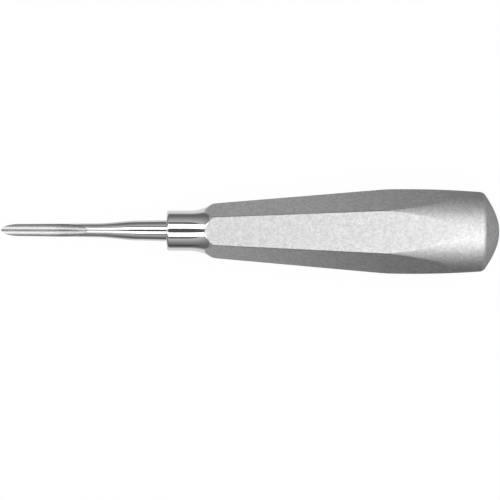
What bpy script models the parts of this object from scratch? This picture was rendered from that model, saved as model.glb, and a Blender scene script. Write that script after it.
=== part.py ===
"""Surgical elevator: a grooved blade and shank fixed in a hollow six-sided handle.

Metres, +Z up. Each piece is modelled along its own X axis, from the front face of
the handle's neck at x = 0: the blade's tip lies at negative x and the domed end at
positive x. An empty then lays the axis down so that the lowest flat rests on z = 0.
"""

import math

import bmesh
import bpy
from mathutils import Matrix, Vector

# Gap between two pieces that touch in the real instrument
CLEARANCE = 0.0003

# Working end: the blade and shank in front of the neck
EXPOSED_LENGTH = 0.04825
BLADE_TIP_RADIUS = 0.00163
BLADE_ROOT_RADIUS = 0.00213
SWELL_START = -0.01975
SWELL_END = -0.00775
SWELL_END_RADIUS = 0.00294
SHANK_ROOT_RADIUS = 0.00310

# Rounded nose, seen from above, and the back that thins towards it
NOSE_LENGTH = 0.0053
BACK_TIP_DEPTH = 0.00070
BACK_TAPER_LENGTH = 0.0160

# Trough ground along the blade by a wheel with a round rim
TROUGH_RADIUS = 0.0032
TROUGH_FLOOR = -0.000325
TROUGH_LENGTH = 0.02525
WHEEL_RADIUS = 0.0260

# Tang that is fixed in the neck
TANG_RADIUS = 0.0023
TANG_LENGTH = 0.0170
TANG_CHAMFER = 0.0005

# Neck and the flare behind it
NECK_RADIUS = 0.005855
NECK_EDGE_ROUND = 0.0007
FLARE_ANGLE = math.radians(30.0)
SHOULDER_START = 0.01425
SHOULDER_RADIUS = 0.0046

# Barrel, turned as two long arcs that meet at the widest place, before the flats are milled
BARREL_RADIUS = 0.01232
BARREL_WIDEST = 0.07095
FRONT_ARC_RADIUS = 0.3800
REAR_ARC_RADIUS = 0.2700
SHELL_LENGTH = 0.09245
REAR_EDGE_ROUND = 0.0020
REAR_EDGE_ANGLE = math.radians(53.0)

# Six flats, which spread towards the rear
FLAT_COUNT = 6
FLAT_APOTHEM_AT_NECK = 0.00593
FLAT_TAPER = math.radians(4.25)

# Hollow of the handle
CAVITY_START = 0.0210
DRILL_POINT_LENGTH = 0.0020
WALL = 0.0012
REAR_BORE_RADIUS = 0.0095

# Domed cap and the ring that enters the shell
DOME_HEIGHT = 0.0039
DOME_NOSE_RADIUS = 0.0122
SPIGOT_LENGTH = 0.0050
SPIGOT_WALL = 0.0015

# Place on the lowest flat, counted from the neck's face, that becomes the origin
REST_POINT = 0.0475

# Facets
TURNED_SEGMENTS = 72
SHANK_SEGMENTS = 48
TROUGH_SEGMENTS = 72
BLADE_STATIONS = 14
SWELL_STATIONS = 10
NOSE_STEPS = 12
WHEEL_STEPS = 14
BARREL_STEPS = 14
ROUND_STEPS = 5
SHARP_ANGLE = math.radians(25.0)

# How far a cutter runs past what it cuts, and past the blade's sides where the nose ends
CUTTER_MARGIN = 0.0020
NOSE_MARGIN = 0.00002
MERGE_DISTANCE = 1.0e-7

TIP_X = -EXPOSED_LENGTH


def clear_scene():
    """Remove every object of the scene."""
    for obj in list(bpy.data.objects):
        bpy.data.objects.remove(obj, do_unlink=True)


def steel(name, colour, roughness):
    """Return a metallic Principled material."""
    material = bpy.data.materials.new(name)
    material.use_nodes = True
    shader = material.node_tree.nodes["Principled BSDF"]
    shader.inputs["Base Color"].default_value = (*colour, 1.0)
    shader.inputs["Metallic"].default_value = 1.0
    shader.inputs["Roughness"].default_value = roughness
    return material


def mix(start, end, share):
    """Return the value a share of the way from start to end."""
    return start + (end - start) * share


def ease(share):
    """Return a share that starts and ends its run gently."""
    return share * share * (3.0 - 2.0 * share)


def arc(centre, radius, start, end, steps):
    """Return points (x, r) on an arc from angle start to angle end."""
    points = []
    for step in range(steps + 1):
        angle = mix(start, end, step / steps)
        points.append((centre[0] + radius * math.cos(angle), centre[1] + radius * math.sin(angle)))
    return points


def finish_object(name, bm, material):
    """Turn a bmesh into a smooth-shaded object with its faces pointing out."""
    bmesh.ops.remove_doubles(bm, verts=bm.verts, dist=MERGE_DISTANCE)
    bmesh.ops.dissolve_degenerate(bm, edges=bm.edges, dist=MERGE_DISTANCE)
    bmesh.ops.recalc_face_normals(bm, faces=bm.faces)
    mesh = bpy.data.meshes.new(name)
    bm.to_mesh(mesh)
    bm.free()
    mesh.shade_smooth()
    mesh.set_sharp_from_angle(angle=SHARP_ANGLE)
    obj = bpy.data.objects.new(name, mesh)
    bpy.context.scene.collection.objects.link(obj)
    if material is not None:
        mesh.materials.append(material)
    return obj


def turn(name, profile, material):
    """Spin a profile of (x, radius) points, which starts and ends on the axis, about X.

    The first seam lies half a segment off +Y, so that no facet edge of a turned piece
    falls on an edge between two flats.
    """
    half_segment = math.pi / TURNED_SEGMENTS
    across = Vector((0.0, math.cos(half_segment), math.sin(half_segment)))
    bm = bmesh.new()
    verts = [bm.verts.new(Vector((x, 0.0, 0.0)) + radius * across) for x, radius in profile]
    edges = [bm.edges.new(pair) for pair in zip(verts, verts[1:])]
    bmesh.ops.spin(
        bm,
        geom=verts + edges,
        cent=(0.0, 0.0, 0.0),
        axis=(1.0, 0.0, 0.0),
        angle=2.0 * math.pi,
        steps=TURNED_SEGMENTS,
        use_merge=True,
    )
    return finish_object(name, bm, material)


def ring(x, width, top, bottom, count):
    """Return one section of the working end: half-width, height above and depth below."""
    points = []
    for index in range(count):
        angle = 2.0 * math.pi * index / count
        height = top if math.sin(angle) > 0.0 else bottom
        points.append(Vector((x, width * math.cos(angle), height * math.sin(angle))))
    return points


def loft(name, rings, material):
    """Skin a row of rings with equal point counts and close both ends."""
    bm = bmesh.new()
    loops = [[bm.verts.new(point) for point in points] for points in rings]
    for near, far in zip(loops, loops[1:]):
        for index in range(len(near)):
            following = (index + 1) % len(near)
            bm.faces.new((near[index], near[following], far[following], far[index]))
    bm.faces.new(loops[0])
    bm.faces.new(reversed(loops[-1]))
    return finish_object(name, bm, material)


def cut(obj, cutter, operation):
    """Give obj a Boolean modifier with cutter, and make cutter a guide."""
    modifier = obj.modifiers.new(cutter.name, "BOOLEAN")
    modifier.operation = operation
    modifier.solver = "EXACT"
    modifier.object = cutter
    cutter.hide_render = True
    cutter.display_type = "WIRE"


def flat_apothem(x):
    """Return the distance from the axis to the flats at x."""
    return FLAT_APOTHEM_AT_NECK + x * math.tan(FLAT_TAPER)


def barrel_arc(x):
    """Return the radius of the arc that the barrel follows at x."""
    return FRONT_ARC_RADIUS if x < BARREL_WIDEST else REAR_ARC_RADIUS


def barrel_slope(x):
    """Return the angle of the turned barrel to the axis at x, rising towards the rear."""
    return math.asin((BARREL_WIDEST - x) / barrel_arc(x))


def barrel_radius(x):
    """Return the radius of the turned barrel at x, before the flats are milled."""
    return BARREL_RADIUS - barrel_arc(x) * (1.0 - math.cos(barrel_slope(x)))


def rear_edge():
    """Return the rounded rear edge, which leaves the barrel without a crease."""
    quarter = math.pi / 2.0
    centre_x = SHELL_LENGTH - REAR_EDGE_ROUND * math.sin(REAR_EDGE_ANGLE)
    reach = REAR_ARC_RADIUS - REAR_EDGE_ROUND
    slope = math.asin((BARREL_WIDEST - centre_x) / reach)
    centre_radius = BARREL_RADIUS - REAR_ARC_RADIUS + reach * math.cos(slope)
    start, end = quarter + slope, quarter - REAR_EDGE_ANGLE
    return arc((centre_x, centre_radius), REAR_EDGE_ROUND, start, end, ROUND_STEPS)


def outer_profile():
    """Return the shell's outside from the neck's face to the rear face, front to rear."""
    quarter = math.pi / 2.0
    edge_centre = (NECK_EDGE_ROUND, NECK_RADIUS - NECK_EDGE_ROUND)
    points = arc(edge_centre, NECK_EDGE_ROUND, 2.0 * quarter, quarter, ROUND_STEPS)

    # The shoulder runs into the barrel without a crease, and the flare into the neck.
    slope = barrel_slope(SHOULDER_START)
    shoulder_centre = (
        SHOULDER_START + SHOULDER_RADIUS * math.sin(slope),
        barrel_radius(SHOULDER_START) - SHOULDER_RADIUS * math.cos(slope),
    )
    shoulder = arc(
        shoulder_centre, SHOULDER_RADIUS, quarter + FLARE_ANGLE, quarter + slope, ROUND_STEPS
    )
    foot_x, foot_radius = shoulder[0]
    flare_radius = (foot_radius - NECK_RADIUS) / (1.0 - math.cos(FLARE_ANGLE))
    flare_centre = (foot_x - flare_radius * math.sin(FLARE_ANGLE), NECK_RADIUS + flare_radius)
    flare = arc(flare_centre, flare_radius, -quarter, FLARE_ANGLE - quarter, 2 * ROUND_STEPS)
    points += flare[:-1]
    points += shoulder

    barrel_start = shoulder[-1][0]
    rear = rear_edge()
    for step in range(1, BARREL_STEPS):
        x = mix(barrel_start, rear[0][0], step / BARREL_STEPS)
        points.append((x, barrel_radius(x)))
    return points + rear


def tang_bore_profile():
    """Return the blind bore for the tang, from its bottom out to the neck's face."""
    bore_radius = TANG_RADIUS + CLEARANCE
    bore_end = TANG_LENGTH + CLEARANCE
    return [(bore_end, 0.0), (bore_end, bore_radius), (0.0, bore_radius)]


def cavity_profile():
    """Return the hollow of the handle from the rear face to the drill's point."""
    cone_end = (REAR_BORE_RADIUS + WALL - FLAT_APOTHEM_AT_NECK) / math.tan(FLAT_TAPER)
    drill_shoulder = CAVITY_START + DRILL_POINT_LENGTH
    return [
        (SHELL_LENGTH, REAR_BORE_RADIUS),
        (cone_end, REAR_BORE_RADIUS),
        (drill_shoulder, flat_apothem(drill_shoulder) - WALL),
        (CAVITY_START, 0.0),
    ]


def make_handle_shell(material):
    """Neck, flare and hollow six-sided grip, turned from one bar and milled."""
    profile = tang_bore_profile() + outer_profile() + cavity_profile()
    shell = turn("handle_shell", profile, material)

    to_corner = 1.0 / math.cos(math.pi / FLAT_COUNT)
    rings = []
    for x in (-CUTTER_MARGIN, SHELL_LENGTH + CUTTER_MARGIN):
        corner = flat_apothem(x) * to_corner
        rings.append(ring(x, corner, corner, corner, FLAT_COUNT))
    flats = loft("flats_envelope", rings, None)
    cut(shell, flats, "INTERSECT")
    return shell, [flats]


def dome_rim_radius():
    """Return the radius at which the dome carries on from the shell's rear edge."""
    return rear_edge()[-1][1] - CLEARANCE * math.tan(REAR_EDGE_ANGLE)


def dome_radius(height):
    """Return the dome's radius at a depth below its apex: a conic from nose to rim."""
    share = height / DOME_HEIGHT
    nose_part = 2.0 * DOME_NOSE_RADIUS * height * (1.0 - share)
    return math.sqrt(nose_part + (dome_rim_radius() * share) ** 2)


def make_end_cap(material):
    """Domed cap with a ring that enters the shell's rear bore."""
    rim_x = SHELL_LENGTH + CLEARANCE
    spigot_radius = REAR_BORE_RADIUS - CLEARANCE
    spigot_front = SHELL_LENGTH - SPIGOT_LENGTH
    profile = [
        (rim_x, 0.0),
        (rim_x, spigot_radius - SPIGOT_WALL),
        (spigot_front, spigot_radius - SPIGOT_WALL),
        (spigot_front, spigot_radius),
        (rim_x, spigot_radius),
    ]
    steps = 2 * ROUND_STEPS
    for step in range(steps + 1):
        height = DOME_HEIGHT * (1.0 - step / steps) ** 2
        profile.append((rim_x + DOME_HEIGHT - height, dome_radius(height)))
    return turn("end_cap", profile, material)


def shank_radius(x):
    """Return the radius of the turned blade and shank at x."""
    if x <= SWELL_START:
        share = (x - TIP_X) / (SWELL_START - TIP_X)
        return mix(BLADE_TIP_RADIUS, BLADE_ROOT_RADIUS, share)
    if x <= SWELL_END:
        share = (x - SWELL_START) / (SWELL_END - SWELL_START)
        return mix(BLADE_ROOT_RADIUS, SWELL_END_RADIUS, ease(share))
    return mix(SWELL_END_RADIUS, SHANK_ROOT_RADIUS, (x - SWELL_END) / -SWELL_END)


def back_depth(x):
    """Return how far the blade's back lies below the axis at x."""
    share = min((x - TIP_X) / BACK_TAPER_LENGTH, 1.0)
    return mix(BACK_TIP_DEPTH, shank_radius(x), share * (2.0 - share))


def nose_block():
    """Return a block in front of the blade, hollowed to the outline of its nose."""
    nose_width = shank_radius(TIP_X + NOSE_LENGTH) + NOSE_MARGIN
    outline = []
    for step in range(-NOSE_STEPS, NOSE_STEPS + 1):
        angle = step / NOSE_STEPS * math.pi / 2.0
        outline.append((TIP_X + NOSE_LENGTH * (1.0 - math.cos(angle)), nose_width * math.sin(angle)))
    reach = nose_width + CUTTER_MARGIN
    rear_x = TIP_X + NOSE_LENGTH
    front_x = TIP_X - 2.0 * CUTTER_MARGIN
    outline += [(rear_x, reach), (front_x, reach), (front_x, -reach), (rear_x, -reach)]

    bm = bmesh.new()
    floor = [bm.verts.new((x, y, -reach)) for x, y in outline]
    face = bm.faces.new(floor)
    raised = bmesh.ops.extrude_face_region(bm, geom=[face])
    lifted = [item for item in raised["geom"] if isinstance(item, bmesh.types.BMVert)]
    bmesh.ops.translate(bm, verts=lifted, vec=(0.0, 0.0, 2.0 * reach))
    return finish_object("nose_block", bm, None)


def grinding_wheel():
    """Return the space swept by a round-rimmed wheel that grinds the trough."""
    end_x = TIP_X + TROUGH_LENGTH
    rise = shank_radius(end_x) - TROUGH_FLOOR
    lift_x = end_x - math.sqrt(2.0 * WHEEL_RADIUS * rise - rise * rise)
    last_angle = math.acos(1.0 - (rise + CUTTER_MARGIN) / WHEEL_RADIUS)
    path_radius = WHEEL_RADIUS - TROUGH_RADIUS
    wheel_centre = Vector((lift_x, 0.0, TROUGH_FLOOR + WHEEL_RADIUS))

    rim = ring(0.0, TROUGH_RADIUS, TROUGH_RADIUS, TROUGH_RADIUS, TROUGH_SEGMENTS)
    start = Vector((TIP_X - CUTTER_MARGIN, 0.0, TROUGH_FLOOR + TROUGH_RADIUS))
    rings = [[start + point for point in rim]]
    for step in range(WHEEL_STEPS + 1):
        angle = last_angle * step / WHEEL_STEPS
        centre = wheel_centre + path_radius * Vector((math.sin(angle), 0.0, -math.cos(angle)))
        lean = Matrix.Rotation(-angle, 3, "Y")
        rings.append([centre + lean @ point for point in rim])
    return loft("grinding_wheel", rings, None)


def make_working_end(material):
    """Blade, shank and tang, forged and ground as one piece."""
    taper_end = TIP_X + BACK_TAPER_LENGTH
    stations = [TIP_X - CUTTER_MARGIN]
    stations += [mix(TIP_X, taper_end, step / BLADE_STATIONS) for step in range(BLADE_STATIONS)]
    stations += [taper_end]
    stations += [mix(SWELL_START, SWELL_END, step / SWELL_STATIONS) for step in range(SWELL_STATIONS + 1)]
    stations += [-CLEARANCE]

    rings = []
    for x in stations:
        radius = shank_radius(x)
        rings.append(ring(x, radius, radius, back_depth(x), SHANK_SEGMENTS))
    tang_end = TANG_LENGTH
    for x, radius in (
        (-CLEARANCE, TANG_RADIUS),
        (tang_end - TANG_CHAMFER, TANG_RADIUS),
        (tang_end, TANG_RADIUS - TANG_CHAMFER),
    ):
        rings.append(ring(x, radius, radius, radius, SHANK_SEGMENTS))
    working_end = loft("working_end", rings, material)

    cutters = [nose_block(), grinding_wheel()]
    for cutter in cutters:
        cut(working_end, cutter, "DIFFERENCE")
    return working_end, cutters


def lay_down(pieces):
    """Parent the pieces to an empty that rests the lowest flat on z = 0."""
    turned = Matrix.Rotation(-FLAT_TAPER, 4, "Y")
    rest_point = Vector((REST_POINT, 0.0, -flat_apothem(REST_POINT)))
    axis_line = bpy.data.objects.new("axis_line", None)
    bpy.context.scene.collection.objects.link(axis_line)
    axis_line.rotation_euler = turned.to_euler()
    axis_line.location = -(turned @ rest_point)
    for piece in pieces:
        piece.parent = axis_line


def main():
    """Build the instrument."""
    clear_scene()
    blasted = steel("blasted_steel", (0.52, 0.52, 0.53), 0.45)
    polished = steel("polished_steel", (0.72, 0.72, 0.73), 0.10)
    shell, shell_cutters = make_handle_shell(blasted)
    cap = make_end_cap(blasted)
    working_end, blade_cutters = make_working_end(polished)
    lay_down([shell, cap, working_end] + shell_cutters + blade_cutters)


main()
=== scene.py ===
"""Looks of the surgical elevator: steel finishes, fine surfaces, studio and camera.

Metres, +Z up. The three solids of the frame are replaced by finer pieces of the same
form. Each is shaped along the X axis, from the front face of the handle's neck at
x = 0, and then laid down so that the handle's lowest flat rests on the floor.
"""

import logging
import math
from collections.abc import Sequence
from dataclasses import dataclass, field
from enum import Enum

import bpy
from mathutils import Euler, Matrix, Vector


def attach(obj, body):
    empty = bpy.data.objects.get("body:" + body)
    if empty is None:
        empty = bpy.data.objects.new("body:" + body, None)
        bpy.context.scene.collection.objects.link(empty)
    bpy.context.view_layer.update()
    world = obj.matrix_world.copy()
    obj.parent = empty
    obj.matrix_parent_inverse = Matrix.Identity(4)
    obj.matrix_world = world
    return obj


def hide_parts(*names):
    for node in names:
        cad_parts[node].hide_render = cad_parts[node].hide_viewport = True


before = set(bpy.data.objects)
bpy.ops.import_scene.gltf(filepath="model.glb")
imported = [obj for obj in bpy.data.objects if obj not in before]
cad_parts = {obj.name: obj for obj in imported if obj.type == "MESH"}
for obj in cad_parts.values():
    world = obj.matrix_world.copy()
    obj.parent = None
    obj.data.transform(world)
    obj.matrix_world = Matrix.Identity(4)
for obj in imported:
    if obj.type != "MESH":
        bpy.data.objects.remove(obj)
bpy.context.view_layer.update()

LOG = logging.getLogger("surgical_elevator")

Point = tuple[float, float]
Colour = tuple[float, float, float]
QUARTER = math.pi / 2.0
FLAT_ANGLE = math.radians(60.0)
MERGE_DISTANCE = 1.0e-7


class Slot(Enum):
    """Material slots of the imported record."""

    POLISHED = "polished_steel"
    BLASTED = "blasted_steel"


class Cut(Enum):
    """Boolean operations used to shape a piece."""

    REMOVE = "DIFFERENCE"
    KEEP_INSIDE = "INTERSECT"


def mix(start: float, end: float, share: float) -> float:
    """Return the value a share of the way from start to end."""
    return start + (end - start) * share


def spaced(start: float, end: float, steps: int) -> list[float]:
    """Return evenly spaced values after start, up to and with end."""
    return [mix(start, end, step / steps) for step in range(1, steps + 1)]


def ease(share: float) -> float:
    """Return a share that starts and ends its run gently."""
    return share * share * (3.0 - 2.0 * share)


def soft_least(one: float, other: float, softness: float) -> float:
    """Return the smaller of two lengths, rounded off where they are nearly equal.

    Args:
        one: The first length.
        other: The second length.
        softness: How far apart the two are where the rounding begins.

    Returns:
        The smaller length, or slightly less near the crossing.
    """
    if softness <= 0.0:
        return min(one, other)
    near = max(softness - abs(one - other), 0.0) / softness
    return min(one, other) - near * near * softness / 4.0


def arc(centre: Point, radius: float, start: float, end: float, steps: int) -> list[Point]:
    """Return points on an arc.

    Args:
        centre: The arc's centre as (x, distance from the axis).
        radius: The arc's radius.
        start: Angle of the first point, in radians.
        end: Angle of the last point, in radians.
        steps: Number of equal steps between them.

    Returns:
        The points as (x, distance from the axis).
    """
    angles = [start, *spaced(start, end, steps)]
    return [(centre[0] + radius * math.cos(a), centre[1] + radius * math.sin(a)) for a in angles]


@dataclass(frozen=True)
class LyingAxis:
    """The instrument's axis as it lies on the lowest flat of its handle."""

    flat_taper: float = math.radians(4.25)
    apothem_at_neck: float = 0.00593
    rest_point: float = 0.0475

    def apothem(self, x: float) -> float:
        """Return the distance from the axis to the flats at x."""
        return self.apothem_at_neck + x * math.tan(self.flat_taper)

    def tilt(self) -> Matrix:
        """Return the turn about Y that brings the lowest flat level."""
        return Matrix.Rotation(-self.flat_taper, 4, "Y")

    def matrix(self) -> Matrix:
        """Return the placement that brings the rest point of the lowest flat to the origin."""
        foot = Vector((self.rest_point, 0.0, -self.apothem(self.rest_point)))
        return Matrix.Translation(-(self.tilt() @ foot)) @ self.tilt()

    def point(self, along: float, across: float, above: float) -> Vector:
        """Return the world place of a point given along, across and above the axis."""
        return self.matrix() @ Vector((along, across, above))


AXIS = LyingAxis()


class Bench:
    """Modelling steps done with Blender's operators on one mesh at a time."""

    @staticmethod
    def clear_selection() -> None:
        """Deselect every object."""
        bpy.ops.object.select_all(action="DESELECT")

    @staticmethod
    def pick(obj: bpy.types.Object) -> None:
        """Make obj the only selected and the active object."""
        Bench.clear_selection()
        obj.select_set(True)
        bpy.context.view_layer.objects.active = obj

    @staticmethod
    def named(name: str) -> bpy.types.Object:
        """Name the object that was just added, and its mesh, and bake its place.

        Args:
            name: The new name.

        Returns:
            The object, at the origin, unturned and unscaled.
        """
        obj = bpy.context.object
        obj.name = name
        obj.data.name = name
        bpy.ops.object.transform_apply(location=True, rotation=True, scale=True)
        return obj

    @staticmethod
    def disc(name: str, x: float, radius: float, sides: int, turned: float) -> bpy.types.Object:
        """Add a filled disc across the X axis.

        Args:
            name: Name of the new object.
            x: Where the disc stands on the axis.
            radius: Its radius.
            sides: Number of points round it.
            turned: Angle of its first point.

        Returns:
            The new object.
        """
        Bench.clear_selection()
        bpy.ops.mesh.primitive_circle_add(
            vertices=sides, radius=radius, fill_type="NGON", rotation=(0.0, QUARTER, 0.0)
        )
        obj = Bench.named(name)
        obj.matrix_world = Matrix.Translation((x, 0.0, 0.0)) @ Matrix.Rotation(turned, 4, "X")
        bpy.ops.object.transform_apply(location=True, rotation=True, scale=True)
        return obj

    @staticmethod
    def edit(obj: bpy.types.Object) -> None:
        """Open obj in edit mode with all of it selected."""
        Bench.pick(obj)
        bpy.ops.object.mode_set(mode="EDIT")
        bpy.ops.mesh.select_mode(type="VERT")
        bpy.ops.mesh.select_all(action="SELECT")

    @staticmethod
    def close() -> None:
        """Merge doubled points, turn the faces outwards and leave edit mode."""
        bpy.ops.mesh.select_all(action="SELECT")
        bpy.ops.mesh.remove_doubles(threshold=MERGE_DISTANCE)
        bpy.ops.mesh.normals_make_consistent(inside=False)
        bpy.ops.object.mode_set(mode="OBJECT")

    @staticmethod
    def lathe(name: str, profile: Sequence[Point], sides: int) -> bpy.types.Object:
        """Turn a profile about the X axis by extruding a disc ring by ring.

        Args:
            name: Name of the new object.
            profile: Points (x, radius); the first and last lie on the axis.
            sides: Number of facets round the axis.

        Returns:
            The closed turned piece.
        """
        (x, radius), *rest = profile[1:-1]
        obj = Bench.disc(name, x, radius, sides, 0.0)
        Bench.edit(obj)
        if profile[0][0] != x:
            raise ValueError(f"{name}: the first face has to be flat")
        for next_x, next_radius in rest:
            bpy.ops.mesh.extrude_region_move(
                TRANSFORM_OT_translate={"value": (next_x - x, 0.0, 0.0)}
            )
            grown = next_radius / radius
            bpy.ops.transform.resize(
                value=(1.0, grown, grown), center_override=(next_x, 0.0, 0.0)
            )
            x, radius = next_x, next_radius
        end_x = profile[-1][0]
        if end_x != x:
            bpy.ops.mesh.extrude_region_move(
                TRANSFORM_OT_translate={"value": (end_x - x, 0.0, 0.0)}
            )
            bpy.ops.mesh.merge(type="CENTER")
        Bench.close()
        return obj

    @staticmethod
    def boolean(obj: bpy.types.Object, cutter: bpy.types.Object, operation: Cut) -> None:
        """Cut obj with cutter, apply the result and remove the cutter.

        Args:
            obj: The piece that is shaped.
            cutter: A closed mesh.
            operation: Whether the inside of the cutter is removed or kept.
        """
        Bench.pick(obj)
        modifier = obj.modifiers.new(cutter.name, "BOOLEAN")
        modifier.operation = operation.value
        modifier.solver = "EXACT"
        modifier.object = cutter
        bpy.ops.object.modifier_apply(modifier=modifier.name)
        bpy.data.objects.remove(cutter, do_unlink=True)

    @staticmethod
    def shade(obj: bpy.types.Object, sharp_angle: float) -> None:
        """Shade obj smooth but for its sharp edges, with flat faces kept flat.

        Args:
            obj: The piece.
            sharp_angle: Edges sharper than this stay creased.
        """
        Bench.pick(obj)
        bpy.ops.object.shade_smooth_by_angle(angle=sharp_angle)
        modifier = obj.modifiers.new("even_faces", "WEIGHTED_NORMAL")
        modifier.mode = "FACE_AREA"
        modifier.weight = 100
        modifier.keep_sharp = True
        bpy.ops.object.modifier_apply(modifier=modifier.name)

    @staticmethod
    def lay_down(obj: bpy.types.Object) -> None:
        """Move a finished piece from its own axis to where the instrument lies."""
        Bench.pick(obj)
        obj.matrix_world = AXIS.matrix()
        bpy.ops.object.transform_apply(location=True, rotation=True, scale=True)


class Socket:
    """A shader value that takes part in Python expressions."""

    def __init__(self, nodes: "Shader", output: bpy.types.NodeSocket) -> None:
        """Wrap one output socket of a material."""
        self.nodes = nodes
        self.output = output

    def _math(self, operation: str, *values: "Socket | float") -> "Socket":
        """Return the result of a Math node on this and other values."""
        inputs = dict(enumerate(values))
        made = self.nodes.add("ShaderNodeMath", {"operation": operation}, inputs)
        return self.nodes.out(made)

    def __add__(self, other: "Socket | float") -> "Socket":
        """Return the sum."""
        return self._math("ADD", self, other)

    __radd__ = __add__

    def __sub__(self, other: "Socket | float") -> "Socket":
        """Return this less other."""
        return self._math("SUBTRACT", self, other)

    def __rsub__(self, other: float) -> "Socket":
        """Return other less this."""
        return self._math("SUBTRACT", other, self)

    def __mul__(self, other: "Socket | float") -> "Socket":
        """Return the product."""
        return self._math("MULTIPLY", self, other)

    __rmul__ = __mul__

    def root(self) -> "Socket":
        """Return the square root."""
        return self._math("SQRT", self)

    def magnitude(self) -> "Socket":
        """Return the value without its sign."""
        return self._math("ABSOLUTE", self)

    def most(self, other: "Socket | float") -> "Socket":
        """Return the larger of the two."""
        return self._math("MAXIMUM", self, other)

    def step(self, low: float, high: float) -> "Socket":
        """Return 0 below low and 1 above high, with a smooth run between."""
        made = self.nodes.add(
            "ShaderNodeMapRange",
            {"interpolation_type": "SMOOTHSTEP"},
            {"Value": self, "From Min": low, "From Max": high},
        )
        return self.nodes.out(made, "Result")

    def between(self, low: float, high: float) -> "Socket":
        """Return this share, from 0 to 1, spread from low to high."""
        return self * (high - low) + low


class Shader:
    """Builds the nodes of one material, world or lamp."""

    def __init__(self, tree: bpy.types.NodeTree) -> None:
        """Start on an empty node tree."""
        self.tree = tree
        tree.nodes.clear()

    def add(
        self,
        kind: str,
        settings: dict[str, object] | None = None,
        inputs: dict[str | int, object] | None = None,
    ) -> bpy.types.Node:
        """Add a node.

        Args:
            kind: The node's type.
            settings: Properties set before anything else; what stands under "stops"
                gives a ramp's positions and grey levels.
            inputs: Values or sockets by the input's name or number.

        Returns:
            The new node.
        """
        node = self.tree.nodes.new(kind)
        for name, value in (settings or {}).items():
            if name == "stops":
                self._fill_ramp(node.color_ramp, value)
            else:
                setattr(node, name, value)
        for key, value in (inputs or {}).items():
            if isinstance(value, Socket):
                self.tree.links.new(value.output, node.inputs[key])
            else:
                node.inputs[key].default_value = value
        return node

    @staticmethod
    def _fill_ramp(ramp: bpy.types.ColorRamp, stops: Sequence[tuple[float, float]]) -> None:
        """Give a ramp its stops as (position, grey level)."""
        while len(ramp.elements) > 1:
            ramp.elements.remove(ramp.elements[-1])
        for index, (position, level) in enumerate(stops):
            element = ramp.elements[0] if index == 0 else ramp.elements.new(position)
            element.position = position
            element.color = (level, level, level, 1.0)

    def out(self, node: bpy.types.Node, name: str | int = 0) -> Socket:
        """Return a node's output as a value for expressions."""
        return Socket(self, node.outputs[name])

    def place(self) -> Socket:
        """Return the Object coordinates turned to the instrument's own axis.

        The result runs along the axis in X, in metres from the neck's face.
        """
        lying = AXIS.matrix().inverted()
        turn = lying.to_euler()
        coordinates = self.add("ShaderNodeTexCoord")
        mapping = self.add(
            "ShaderNodeMapping",
            {"vector_type": "POINT"},
            {
                "Vector": self.out(coordinates, "Object"),
                "Location": lying.to_translation(),
                "Rotation": (turn.x, turn.y, turn.z),
            },
        )
        return self.out(mapping)

    def stretched(self, vector: Socket, scale: Colour) -> Socket:
        """Return vector scaled along each axis."""
        node = self.add("ShaderNodeMapping", None, {"Vector": vector, "Scale": scale})
        return self.out(node)

    def parts(self, vector: Socket) -> tuple[Socket, Socket, Socket]:
        """Return the X, Y and Z of a vector."""
        node = self.add("ShaderNodeSeparateXYZ", None, {0: vector})
        return self.out(node, "X"), self.out(node, "Y"), self.out(node, "Z")

    def noise(self, vector: Socket, scale: float, detail: float, roughness: float = 0.5) -> Socket:
        """Return a noise from 0 to 1.

        Args:
            vector: Where it is read.
            scale: Grains per metre.
            detail: Number of finer layers.
            roughness: Strength of the finer layers.

        Returns:
            The noise value.
        """
        node = self.add(
            "ShaderNodeTexNoise",
            {"noise_dimensions": "3D"},
            {"Vector": vector, "Scale": scale, "Detail": detail, "Roughness": roughness},
        )
        return self.out(node)

    def grey(self, level: Socket, tint: Colour) -> Socket:
        """Return a colour of the given level and tint."""
        node = self.add(
            "ShaderNodeMix",
            {"data_type": "RGBA", "blend_type": "MIX"},
            {"Factor": level, "A": (0.0, 0.0, 0.0, 1.0), "B": (*tint, 1.0)},
        )
        return Socket(self, node.outputs["Result"])

    def bare_metal(self, colour: Socket, roughness: Socket, height: Socket) -> None:
        """Finish the material as bare metal.

        Args:
            colour: The metal's colour.
            roughness: Its roughness.
            height: The height of its surface, in metres.
        """
        bump = self.add(
            "ShaderNodeBump", None, {"Height": height, "Distance": 1.0, "Strength": 1.0}
        )
        principled = self.add(
            "ShaderNodeBsdfPrincipled",
            None,
            {
                "Base Color": colour,
                "Metallic": 1.0,
                "Roughness": roughness,
                "Normal": self.out(bump, "Normal"),
            },
        )
        self.add("ShaderNodeOutputMaterial", None, {"Surface": self.out(principled)})


def new_material(name: str) -> tuple[bpy.types.Material, Shader]:
    """Return an empty material and the shader that builds its nodes."""
    material = bpy.data.materials.new(name)
    material.use_nodes = True
    return material, Shader(material.node_tree)


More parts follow.
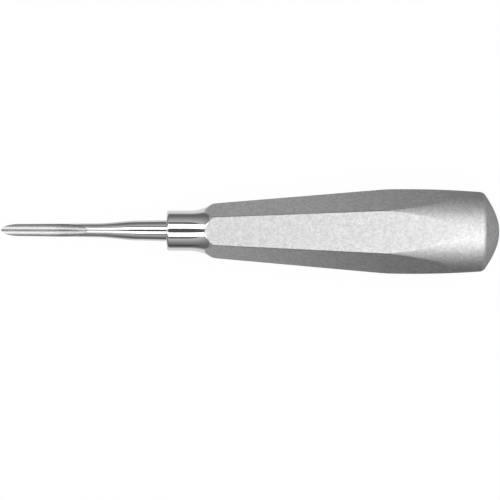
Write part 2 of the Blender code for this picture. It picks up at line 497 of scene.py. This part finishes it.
@dataclass(frozen=True)
class PolishedSteel:
    """Mirror-polished steel with faint lengthwise polishing lines."""

    tint: Colour = (0.80, 0.80, 0.81)
    gloss: float = 0.045
    streak_gloss: float = 0.085
    line_pitch: float = 0.00012
    line_length: float = 0.010
    line_depth: float = 0.00000015
    line_layers: float = 2.0
    clouds_per_metre: float = 260.0
    cloud_layers: float = 3.0
    cloud_level: Point = (0.985, 1.0)
    streak_reach: Point = (0.12, 0.45)

    def surface(self, shader: Shader, place: Socket) -> tuple[Socket, Socket, Socket]:
        """Return the colour level, roughness and height of the polish.

        Args:
            shader: The material's nodes.
            place: Coordinates along the instrument's axis.

        Returns:
            The colour level, the roughness and the height in metres.
        """
        along = self.line_pitch / self.line_length
        drawn_out = shader.stretched(place, (along, 1.0, 1.0))
        lines = shader.noise(drawn_out, 1.0 / self.line_pitch, self.line_layers)
        clouds = shader.noise(place, self.clouds_per_metre, self.cloud_layers)
        streaks = (lines * clouds).step(*self.streak_reach)
        roughness = streaks.between(self.gloss, self.streak_gloss)
        return clouds.between(*self.cloud_level), roughness, lines * self.line_depth


@dataclass(frozen=True)
class WheelPath:
    """Path of the grinding wheel's rim: straight along the blade, then up on an arc."""

    lift_x: float
    centre_height: float
    arc_radius: float
    rim_radius: float

    def ground(self, place: tuple[Socket, Socket, Socket], reach: Point) -> Socket:
        """Return 1 on the surface the wheel has ground and 0 outside it.

        Args:
            place: Coordinates along, across and above the instrument's axis.
            reach: Distances outside the rim over which the value falls to 0.

        Returns:
            The share of the ground surface.
        """
        along, across, above = place
        aft = (along - self.lift_x).most(0.0)
        below = above - self.centre_height
        off_arc = (aft * aft + below * below).root() - self.arc_radius
        outside = (off_arc * off_arc + across * across).root() - self.rim_radius
        return 1 - outside.step(*reach)


@dataclass(frozen=True)
class BladeSteel:
    """The working end's finishes: polished, more coarsely on the blade, satin in the trough."""

    path: WheelPath
    polished: PolishedSteel = field(default_factory=PolishedSteel)
    coarse_from: Point = (0.0060, 0.0180)
    coarser: float = 0.24
    coarse_level: float = 0.85
    satin: Point = (0.28, 0.24)
    satin_level: Point = (0.60, 0.46)
    run_out: float = 0.0050
    ground_reach: Point = (0.00002, 0.00006)

    def material(self) -> bpy.types.Material:
        """Return the finishes as one material."""
        material, shader = new_material("blade_steel_finish")
        place = shader.place()
        parts = shader.parts(place)
        ground = self.path.ground(parts, self.ground_reach)
        coarse = (0 - parts[0]).step(*self.coarse_from)
        risen = (parts[0] - self.path.lift_x).step(0.0, self.run_out)
        level, roughness, height = self.polished.surface(shader, place)
        outer = roughness + coarse * self.coarser
        satin = roughness + (risen.between(*self.satin) - self.polished.gloss)
        dulled = coarse.between(1.0, self.coarse_level) * (1 - ground)
        dulled = dulled + risen.between(*self.satin_level) * ground
        colour = shader.grey(level * dulled, self.polished.tint)
        shader.bare_metal(colour, outer * (1 - ground) + satin * ground, height)
        return material


@dataclass(frozen=True)
class BlastedSteel:
    """Bead-blasted steel: a fine even grain with soft cloudy patches."""

    tint: Colour = (0.73, 0.73, 0.735)
    roughness: float = 0.56
    roughness_spread: float = 0.05
    grain: float = 0.00022
    grain_depth: float = 0.000018
    grain_layers: float = 2.0
    speckle: float = 0.00055
    speckle_layers: float = 1.0
    patch: float = 0.0012
    patch_layers: float = 4.0
    layer_strength: float = 0.6
    patch_reach: Point = (0.25, 0.75)
    patch_contrast: float = 0.31

    def surface(self, shader: Shader, place: Socket) -> tuple[Socket, Socket, Socket]:
        """Return the colour level, roughness and height of the blasted surface.

        Args:
            shader: The material's nodes.
            place: Coordinates along the instrument's axis.

        Returns:
            The colour level, the roughness and the height in metres.
        """
        grain = shader.noise(place, 1.0 / self.grain, self.grain_layers, self.layer_strength)
        speckle = shader.noise(place, 1.0 / self.speckle, self.speckle_layers)
        patch = shader.noise(place, 1.0 / self.patch, self.patch_layers, self.layer_strength)
        level = (patch * 0.5 + speckle * 0.5).step(*self.patch_reach)
        level = level.between(1.0 - self.patch_contrast, 1.0)
        roughness = patch.between(
            self.roughness - self.roughness_spread, self.roughness + self.roughness_spread
        )
        return level, roughness, grain * self.grain_depth

    def material(self) -> bpy.types.Material:
        """Return the finish as a material."""
        material, shader = new_material("blasted_steel_finish")
        level, roughness, height = self.surface(shader, shader.place())
        shader.bare_metal(shader.grey(level, self.tint), roughness, height)
        return material


@dataclass(frozen=True)
class HandleSteel:
    """The handle's two finishes: a polished neck in front of the blasted grip.

    The six flats are blasted from their very fronts, and so is all the turned surface
    between them from the border on. On the side flats, beside their edges with the
    uppermost and lowest flats, a thin darker line is painted shade.
    """

    polished: PolishedSteel = field(default_factory=PolishedSteel)
    blasted: BlastedSteel = field(default_factory=BlastedSteel)
    border: float = 0.01235
    border_width: float = 0.00030
    flat_reach: Point = (-0.00006, -0.00001)
    # painted shade: where the thin darker line on the side flats rises and fades, and how dark it is
    painted_shade_line: Point = (0.00022, 0.00050)
    painted_shade_level: float = 0.70

    def material(self) -> bpy.types.Material:
        """Return the two finishes, with the painted shade line, as one material."""
        material, shader = new_material("handle_finish_and_painted_shade")
        place = shader.place()
        along, across, above = shader.parts(place)
        high = above.magnitude()
        wide = across.magnitude()
        side = high * math.cos(FLAT_ANGLE) + wide * math.sin(FLAT_ANGLE)
        reach = high.most(side)
        apothem = along * math.tan(AXIS.flat_taper) + AXIS.apothem_at_neck
        on_flat = (reach - apothem).step(*self.flat_reach)
        behind = (along - self.border).step(-self.border_width / 2.0, self.border_width / 2.0)
        matte = on_flat.most(behind)
        # painted shade: a thin darker line on the side flats beside their edges with the uppermost
        # and lowest flats
        beyond = side - high
        edge = beyond.step(0.0, self.painted_shade_line[0]) * (1 - beyond.step(*self.painted_shade_line)) * on_flat

        level_a, rough_a, height_a = self.polished.surface(shader, place)
        level_b, rough_b, height_b = self.blasted.surface(shader, place)
        colour = shader.add(
            "ShaderNodeMix",
            {"data_type": "RGBA", "blend_type": "MIX"},
            {
                "Factor": matte,
                "A": shader.grey(level_a, self.polished.tint),
                # the blasted grain, darkened by the painted shade line
                "B": shader.grey(level_b * edge.between(1.0, self.painted_shade_level), self.blasted.tint),
            },
        )
        shader.bare_metal(
            Socket(shader, colour.outputs["Result"]),
            rough_a * (1 - matte) + rough_b * matte,
            height_a * (1 - matte) + height_b * matte,
        )
        return material


@dataclass
class WorkingEnd:
    """Blade, shank and tang, forged and ground as one piece."""

    tip_x: float = -0.04825
    blade_tip_radius: float = 0.00168
    blade_root_radius: float = 0.00201
    swell_start: float = -0.0205
    swell_end: float = -0.00775
    swell_end_radius: float = 0.00294
    root_radius: float = 0.00310
    root_x: float = -0.00001

    nose_length: float = 0.0053
    back_tip_depth: float = 0.00070
    back_taper_length: float = 0.0160

    trough_radius: float = 0.0032
    trough_floor: float = -0.000325
    trough_length: float = 0.0250
    wheel_radius: float = 0.0260

    tang_radius: float = 0.0023
    tang_length: float = 0.0170
    tang_chamfer: float = 0.0005

    sides: int = 160
    trough_sides: int = 256
    nose_sides: int = 192
    taper_steps: int = 40
    straight_steps: int = 6
    swell_steps: int = 32
    lift_steps: int = 48
    margin: float = 0.0020
    envelope_height: float = 8.0
    envelope_step: float = 0.0005
    envelope_widening: float = 4.0
    sharp_angle: float = math.radians(28.0)

    def radius(self, x: float) -> float:
        """Return the radius of the turned blade and shank at x."""
        if x <= self.swell_start:
            share = (x - self.tip_x) / (self.swell_start - self.tip_x)
            return mix(self.blade_tip_radius, self.blade_root_radius, share)
        if x <= self.swell_end:
            share = (x - self.swell_start) / (self.swell_end - self.swell_start)
            return mix(self.blade_root_radius, self.swell_end_radius, ease(share))
        return mix(self.swell_end_radius, self.root_radius, (x - self.swell_end) / -self.swell_end)

    def back_share(self, x: float) -> float:
        """Return the depth of the blade's back at x as a share of its radius."""
        share = min((x - self.tip_x) / self.back_taper_length, 1.0)
        depth = mix(self.back_tip_depth, self.radius(x), share * (2.0 - share))
        return depth / self.radius(x)

    def profile(self) -> list[Point]:
        """Return the turned outline from in front of the tip to the tang's end."""
        front = self.tip_x - self.margin
        taper_end = self.tip_x + self.back_taper_length
        stations = [front, *spaced(front, taper_end, self.taper_steps)]
        stations += spaced(taper_end, self.swell_start, self.straight_steps)
        stations += spaced(self.swell_start, self.swell_end, self.swell_steps)
        stations += spaced(self.swell_end, self.root_x, self.straight_steps)
        points = [(front, 0.0)] + [(x, self.radius(x)) for x in stations]
        points += [
            (self.root_x, self.tang_radius),
            (self.tang_length - self.tang_chamfer, self.tang_radius),
            (self.tang_length, self.tang_radius - self.tang_chamfer),
            (self.tang_length, 0.0),
        ]
        return points

    def nose_envelope(self) -> bpy.types.Object:
        """Return the space inside the nose's outline, opening out behind it.

        Its height is a multiple of the blade's half width.
        """
        rear = self.tip_x + self.nose_length
        width = self.radius(rear)
        Bench.clear_selection()
        bpy.ops.mesh.primitive_cylinder_add(
            vertices=self.nose_sides,
            radius=1.0,
            depth=self.envelope_height * width,
            location=(rear, 0.0, 0.0),
            scale=(self.nose_length, width, 1.0),
        )
        envelope = Bench.named("nose_envelope")
        Bench.edit(envelope)
        bpy.ops.mesh.bisect(
            plane_co=(rear, 0.0, 0.0), plane_no=(1.0, 0.0, 0.0), use_fill=True, clear_outer=True
        )
        flare = (self.envelope_step, self.envelope_widening)
        straight = (2.0 * self.tang_length - self.tip_x, 1.0)
        for length, widened in (flare, straight):
            bpy.ops.mesh.extrude_region_move(TRANSFORM_OT_translate={"value": (length, 0.0, 0.0)})
            bpy.ops.transform.resize(value=(1.0, widened, 1.0), center_override=(rear, 0.0, 0.0))
        Bench.close()
        return envelope

    def rise(self) -> float:
        """Return how far the wheel has to rise to leave the blade at the trough's end."""
        return self.radius(self.tip_x + self.trough_length) - self.trough_floor

    def lift_x(self) -> float:
        """Return where the wheel begins to rise."""
        rise = self.rise()
        run = math.sqrt(2.0 * self.wheel_radius * rise - rise * rise)
        return self.tip_x + self.trough_length - run

    def wheel_path(self) -> WheelPath:
        """Return the path of the wheel's rim."""
        return WheelPath(
            self.lift_x(),
            self.trough_floor + self.wheel_radius,
            self.wheel_radius - self.trough_radius,
            self.trough_radius,
        )

    def grinding_wheel(self) -> bpy.types.Object:
        """Return the space swept by the round-rimmed wheel that grinds the trough."""
        lift_x = self.lift_x()
        last_angle = math.acos(1.0 - (self.rise() + self.margin) / self.wheel_radius)
        front = self.tip_x - 2.0 * self.margin
        wheel = Bench.disc("grinding_wheel", 0.0, self.trough_radius, self.trough_sides, 0.0)
        Bench.edit(wheel)
        bpy.ops.transform.translate(value=(front, 0.0, self.trough_floor + self.trough_radius))
        bpy.ops.mesh.extrude_region_move(
            TRANSFORM_OT_translate={"value": (lift_x - front, 0.0, 0.0)}
        )
        bpy.ops.mesh.spin(
            steps=self.lift_steps,
            angle=last_angle,
            center=(lift_x, 0.0, self.trough_floor + self.wheel_radius),
            axis=(0.0, 1.0, 0.0),
        )
        Bench.close()
        return wheel

    def thin_back(self, obj: bpy.types.Object) -> None:
        """Flatten the lower half of the blade towards its tip."""
        taper_end = self.tip_x + self.back_taper_length
        for vertex in obj.data.vertices:
            if vertex.co.z < 0.0 and vertex.co.x < taper_end:
                vertex.co.z *= self.back_share(vertex.co.x)
        obj.data.update()

    def build(self) -> bpy.types.Object:
        """Return the finished blade, shank and tang."""
        obj = Bench.lathe("blade_and_shank", self.profile(), self.sides)
        self.thin_back(obj)
        Bench.boolean(obj, self.nose_envelope(), Cut.KEEP_INSIDE)
        Bench.boolean(obj, self.grinding_wheel(), Cut.REMOVE)
        Bench.shade(obj, self.sharp_angle)
        Bench.lay_down(obj)
        return obj

    def dress(self, obj: bpy.types.Object) -> None:
        """Give the working end its finish and its place in the frame."""
        obj.data.materials.append(BladeSteel(self.wheel_path()).material())
        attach(obj, "root")
        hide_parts("working_end")


@dataclass
class HandleShell:
    """Neck, flare and hollow six-sided grip, turned from one bar and milled."""

    tang_bore_radius: float = 0.0026
    tang_bore_depth: float = 0.0173
    neck_radius: float = 0.005855
    neck_edge_round: float = 0.0007
    flare_angle: float = math.radians(30.0)
    shoulder_x: float = 0.01425
    shoulder_radius: float = 0.0046

    barrel_radius: float = 0.01232
    barrel_widest: float = 0.07095
    front_arc_radius: float = 0.380
    rear_arc_radius: float = 0.270
    length: float = 0.09245
    rear_edge_round: float = 0.0020
    rear_edge_angle: float = math.radians(53.0)

    cavity_start: float = 0.0210
    drill_point_length: float = 0.0020
    wall: float = 0.0012
    rear_bore_radius: float = 0.0095

    sides: int = 288
    neck_edge_steps: int = 14
    flare_steps: int = 44
    shoulder_steps: int = 20
    barrel_steps: int = 110
    rear_edge_steps: int = 18
    corner_crowding: float = 0.3
    corner_softness: float = 0.00025
    edge_softness: float = 0.00012
    sharp_angle: float = math.radians(40.0)

    def barrel_arc(self, x: float) -> float:
        """Return the radius of the arc that the barrel follows at x."""
        return self.front_arc_radius if x < self.barrel_widest else self.rear_arc_radius

    def barrel_slope(self, x: float) -> float:
        """Return the angle of the turned barrel to the axis at x, rising towards the rear."""
        return math.asin((self.barrel_widest - x) / self.barrel_arc(x))

    def barrel(self, x: float) -> float:
        """Return the radius of the turned barrel at x."""
        return self.barrel_radius - self.barrel_arc(x) * (1.0 - math.cos(self.barrel_slope(x)))

    def front_outline(self) -> list[Point]:
        """Return the outline of neck, flare and shoulder."""
        edge_centre = (self.neck_edge_round, self.neck_radius - self.neck_edge_round)
        edge = arc(
            edge_centre, self.neck_edge_round, 2.0 * QUARTER, QUARTER, self.neck_edge_steps
        )
        slope = self.barrel_slope(self.shoulder_x)
        shoulder_centre = (
            self.shoulder_x + self.shoulder_radius * math.sin(slope),
            self.barrel(self.shoulder_x) - self.shoulder_radius * math.cos(slope),
        )
        shoulder = arc(
            shoulder_centre,
            self.shoulder_radius,
            QUARTER + self.flare_angle,
            QUARTER + slope,
            self.shoulder_steps,
        )
        foot_x, foot_radius = shoulder[0]
        flare_radius = (foot_radius - self.neck_radius) / (1.0 - math.cos(self.flare_angle))
        flare_centre = (
            foot_x - flare_radius * math.sin(self.flare_angle),
            self.neck_radius + flare_radius,
        )
        flare = arc(
            flare_centre, flare_radius, -QUARTER, self.flare_angle - QUARTER, self.flare_steps
        )
        return edge + flare[:-1] + shoulder

    def rear_outline(self) -> list[Point]:
        """Return the outline of the rounded rear edge, from the barrel to the cap."""
        centre_x = self.length - self.rear_edge_round * math.sin(self.rear_edge_angle)
        reach = self.rear_arc_radius - self.rear_edge_round
        aft = centre_x - self.barrel_widest
        centre_radius = self.barrel_radius - self.rear_arc_radius + math.sqrt(reach**2 - aft**2)
        return arc(
            (centre_x, centre_radius),
            self.rear_edge_round,
            QUARTER - math.asin(aft / reach),
            QUARTER - self.rear_edge_angle,
            self.rear_edge_steps,
        )

    def outside(self) -> list[Point]:
        """Return the outline from the neck's front face to the rear face."""
        rear = self.rear_outline()
        spread = spaced(self.shoulder_x, rear[0][0], self.barrel_steps)[:-1]
        return self.front_outline() + [(x, self.barrel(x)) for x in spread] + rear

    def profile(self) -> list[Point]:
        """Return the closed outline: tang bore, outside and cavity."""
        cone_end = (self.rear_bore_radius + self.wall - AXIS.apothem(0.0)) / math.tan(AXIS.flat_taper)
        drill_shoulder = self.cavity_start + self.drill_point_length
        return [
            (self.tang_bore_depth, 0.0),
            (self.tang_bore_depth, self.tang_bore_radius),
            (0.0, self.tang_bore_radius),
            *self.outside(),
            (self.length, self.rear_bore_radius),
            (cone_end, self.rear_bore_radius),
            (drill_shoulder, AXIS.apothem(drill_shoulder) - self.wall),
            (self.cavity_start, 0.0),
        ]

    def mill_flats(self, obj: bpy.types.Object) -> None:
        """Press the turned outside onto the six flats, which spread towards the rear.

        The points are also crowded towards the edges between the flats, which are
        slightly rounded.
        """
        half = FLAT_ANGLE / 2.0
        for vertex in obj.data.vertices:
            x, y, z = vertex.co
            turned = math.hypot(y, z)
            apothem = AXIS.apothem(x)
            if turned < apothem - self.wall / 2.0:
                continue
            angle = math.atan2(y, z)
            middle = 2.0 * half * round(angle / (2.0 * half))
            share = (angle - middle) / half
            share = share * (1.0 + self.corner_crowding * (1.0 - share * share))
            flat = apothem / math.cos(half * share)
            next_flat = apothem / math.cos(half * (2.0 - abs(share)))
            milled = soft_least(flat, next_flat, self.corner_softness)
            radius = soft_least(milled, turned, self.edge_softness)
            angle = middle + half * share
            vertex.co = (x, radius * math.sin(angle), radius * math.cos(angle))
        obj.data.update()

    def build(self) -> bpy.types.Object:
        """Return the finished shell."""
        obj = Bench.lathe("handle_body", self.profile(), self.sides)
        self.mill_flats(obj)
        Bench.shade(obj, self.sharp_angle)
        Bench.lay_down(obj)
        return obj

    def dress(self, obj: bpy.types.Object) -> None:
        """Give the shell its finishes and its place in the frame."""
        obj.data.materials.append(HandleSteel().material())
        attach(obj, "root")
        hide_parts("handle_shell")


@dataclass
class EndCap:
    """Domed cap with a ring that enters the shell's rear bore."""

    front_x: float = 0.09248
    rim_radius: float = 0.01074
    dome_height: float = 0.00417
    nose_radius: float = 0.0122
    spigot_radius: float = 0.0092
    spigot_wall: float = 0.0015
    spigot_length: float = 0.0050
    tint: Colour = (0.69, 0.69, 0.695)
    sides: int = 288
    dome_steps: int = 40
    sharp_angle: float = math.radians(28.0)

    def dome_radius(self, height: float) -> float:
        """Return the dome's radius at a depth below its apex."""
        share = height / self.dome_height
        nose_part = 2.0 * self.nose_radius * height * (1.0 - share)
        return math.sqrt(nose_part + (self.rim_radius * share) ** 2)

    def profile(self) -> list[Point]:
        """Return the closed outline from the inner face to the dome's apex."""
        inner_radius = self.spigot_radius - self.spigot_wall
        spigot_front = self.front_x - self.spigot_length
        points = [
            (self.front_x, 0.0),
            (self.front_x, inner_radius),
            (spigot_front, inner_radius),
            (spigot_front, self.spigot_radius),
            (self.front_x, self.spigot_radius),
        ]
        for step in range(self.dome_steps + 1):
            height = self.dome_height * (1.0 - step / self.dome_steps) ** 2
            points.append((self.front_x + self.dome_height - height, self.dome_radius(height)))
        return points

    def build(self) -> bpy.types.Object:
        """Return the finished cap."""
        obj = Bench.lathe("domed_cap", self.profile(), self.sides)
        Bench.shade(obj, self.sharp_angle)
        Bench.lay_down(obj)
        return obj

    def dress(self, obj: bpy.types.Object) -> None:
        """Give the cap its finish and its place in the frame."""
        obj.data.materials.append(BlastedSteel(tint=self.tint).material())
        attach(obj, "root")
        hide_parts("end_cap")


@dataclass
class Softbox:
    """One panel of the soft light overhead.

    Its edges are given by their angles from straight up, across and along the
    instrument. It may then be turned about its own middle.
    """

    name: str
    across: Point
    along: Point
    radiance: float
    height: float = 3.0
    above_x: float = 0.0
    turned: float = 0.0

    def build(self) -> bpy.types.Object:
        """Add the lamp and return it."""
        near, far = (self.height * math.tan(angle) for angle in self.across)
        front, rear = (self.above_x + self.height * math.tan(angle) for angle in self.along)
        lamp = bpy.data.lights.new(self.name, "AREA")
        lamp.shape = "RECTANGLE"
        lamp.size = rear - front
        lamp.size_y = far - near
        lamp.energy = self.radiance * math.pi * lamp.size * lamp.size_y
        obj = bpy.data.objects.new(self.name, lamp)
        obj.location = ((front + rear) / 2.0, (near + far) / 2.0, self.height)
        obj.rotation_euler = (0.0, 0.0, self.turned)
        obj.visible_camera = False
        bpy.context.scene.collection.objects.link(obj)
        return obj


@dataclass
class Studio:
    """Pale floor, soft light overhead with a slot for the camera, and grey surround.

    In reflections the floor is brightest where it is seen from straight above. It is
    dimmer under the rear of the handle, most so on the near side, and bright again
    behind it. The surround's stops go by height, from straight down to straight up.
    """

    floor_size: float = 6.0
    floor_albedo: float = 0.80
    floor_glow: float = 0.98
    mirrored_floor: Point = (0.16, 0.80)
    mirrored_steepness: Point = (0.25, 0.60)
    floor_falloff: Point = (-0.04, 0.06)
    floor_falloff_across: float = 0.5
    floor_return: Point = (0.052, 0.085)
    floor_rear_share: float = 0.12
    radiance: float = 2.25
    light_across: Point = (math.radians(-33.6), math.radians(38.9))
    light_along: float = math.radians(70.0)
    slot_across: Point = (math.radians(-10.8), math.radians(14.0))
    slot_along: float = math.radians(66.0)
    spread: float = math.radians(1.6)
    glow_x: float = 0.060
    glow_height: float = 0.16
    glow_along: Point = (math.radians(-12.0), math.radians(28.0))
    glow_across: Point = (math.radians(-54.0), math.radians(6.0))
    glow_radiance: float = 1.22
    surround: tuple[Point, ...] = (
        (0.0, 0.16),
        (0.17, 0.22),
        (0.45, 0.40),
        (0.64, 0.56),
        (0.69, 0.14),
        (0.97, 0.10),
    )
    surround_across: float = 0.053
    surround_behind: float = -0.12

    pixels: float = 500.0
    metres_per_pixel: float = 0.0002909
    neck_pixel: float = 166.82
    axis_pixel: float = 230.9
    camera_distance: float = 1.00
    camera_roll: float = math.radians(0.22)
    camera_lean: float = math.radians(1.5)
    sensor: float = 36.0
    clip_end: float = 100.0

    def lamps(self) -> list[Softbox]:
        """Return the four panels round the camera's slot, and the close one over the rear."""
        near, far = self.light_across
        slot = self.slot_across
        whole = (-self.light_along, self.light_along)
        return [
            Softbox("far_panel", (slot[1], far), whole, self.radiance, turned=self.spread),
            Softbox("near_panel", (near, slot[0]), whole, self.radiance, turned=-self.spread),
            Softbox("tip_panel", slot, (-self.light_along, -self.slot_along), self.radiance),
            Softbox("rear_panel", slot, (self.slot_along, self.light_along), self.radiance),
            Softbox(
                "rear_glow",
                self.glow_across,
                self.glow_along,
                self.glow_radiance,
                self.glow_height,
                self.glow_x,
            ),
        ]

    def build_floor(self) -> None:
        """Lay the pale floor, which keeps a faint shadow."""
        Bench.clear_selection()
        bpy.ops.mesh.primitive_plane_add(size=self.floor_size)
        floor = bpy.context.object
        floor.name = "floor"
        material, shader = new_material("pale_floor")
        path = shader.add("ShaderNodeLightPath")
        seen = shader.out(path, "Is Camera Ray")
        mirrored = shader.out(path, "Is Glossy Ray").most(shader.out(path, "Is Transmission Ray"))
        weight = shader.add("ShaderNodeLayerWeight", None, {"Blend": 0.5})
        steep = 1 - shader.out(weight, "Facing")
        reflected = steep.step(*self.mirrored_steepness).between(*self.mirrored_floor)
        coordinates = shader.add("ShaderNodeTexCoord")
        along, across, _ = shader.parts(shader.out(coordinates, "Object"))
        rearward = (along - across * self.floor_falloff_across).step(*self.floor_falloff)
        shaded = rearward * (1 - along.step(*self.floor_return))
        reflected = reflected * shaded.between(1.0, self.floor_rear_share)
        diffuse = shader.add(
            "ShaderNodeBsdfDiffuse", None, {"Color": (*[self.floor_albedo] * 3, 1.0)}
        )
        strength = seen + mirrored * reflected
        emission = shader.add("ShaderNodeEmission", None, {"Strength": strength})
        mixed = shader.add(
            "ShaderNodeMixShader",
            None,
            {
                0: seen * self.floor_glow + mirrored,
                1: shader.out(diffuse),
                2: shader.out(emission),
            },
        )
        shader.add("ShaderNodeOutputMaterial", None, {"Surface": shader.out(mixed)})
        floor.data.materials.append(material)

    def build_world(self) -> None:
        """Make the surround: grey walls, darker low down and overhead, white to the camera."""
        world = bpy.data.worlds.new("surround")
        bpy.context.scene.world = world
        world.use_nodes = True
        shader = Shader(world.node_tree)
        coordinates = shader.add("ShaderNodeTexCoord")
        along, across, height = shader.parts(shader.out(coordinates, "Generated"))
        leaned = height + across * self.surround_across
        behind = along.most(0.0) * self.surround_behind
        ramp = shader.add("ShaderNodeValToRGB", {"stops": self.surround}, {"Fac": leaned + behind})
        surround = shader.add("ShaderNodeBackground", None, {"Color": shader.out(ramp)})
        white = shader.add("ShaderNodeBackground", None, {"Color": (1.0, 1.0, 1.0, 1.0)})
        path = shader.add("ShaderNodeLightPath")
        mixed = shader.add(
            "ShaderNodeMixShader",
            None,
            {0: shader.out(path, "Is Camera Ray"), 1: shader.out(surround), 2: shader.out(white)},
        )
        shader.add("ShaderNodeOutputWorld", None, {"Surface": shader.out(mixed)})

    def build_camera(self) -> None:
        """Place the camera so that a pixel of the photograph has its measured size."""
        middle = self.pixels / 2.0
        along = (middle - self.neck_pixel) * self.metres_per_pixel
        across = (self.axis_pixel - middle) * self.metres_per_pixel
        leaned = AXIS.tilt() @ Euler((-self.camera_lean, 0.0, 0.0)).to_matrix().to_4x4()
        back = leaned.to_3x3() @ Vector((0.0, 0.0, self.camera_distance))
        aim = AXIS.point(along, across, 0.0)
        data = bpy.data.cameras.new("camera")
        data.sensor_width = self.sensor
        data.lens = self.sensor * self.camera_distance / (self.pixels * self.metres_per_pixel)
        data.clip_end = self.clip_end
        camera = bpy.data.objects.new("camera", data)
        bpy.context.scene.collection.objects.link(camera)
        rolled = Matrix.Rotation(self.camera_roll, 4, "Z")
        camera.matrix_world = Matrix.Translation(aim + back) @ leaned @ rolled
        bpy.context.scene.camera = camera

    def build(self) -> None:
        """Build the whole studio."""
        self.build_floor()
        self.build_world()
        for lamp in self.lamps():
            lamp.build()
        self.build_camera()
        bpy.context.scene.view_settings.view_transform = "Standard"


def report(obj: bpy.types.Object) -> None:
    """Log a finished piece with its number of faces."""
    LOG.info("%s: %d faces", obj.name, len(obj.data.polygons))


def main() -> None:
    """Build and dress the instrument, then the studio around it."""
    logging.basicConfig(level=logging.INFO, format="%(name)s: %(message)s")
    for maker in (WorkingEnd(), HandleShell(), EndCap()):
        piece: bpy.types.Object = maker.build()
        maker.dress(piece)
        report(piece)
    Studio().build()


if __name__ == "__main__":
    main()
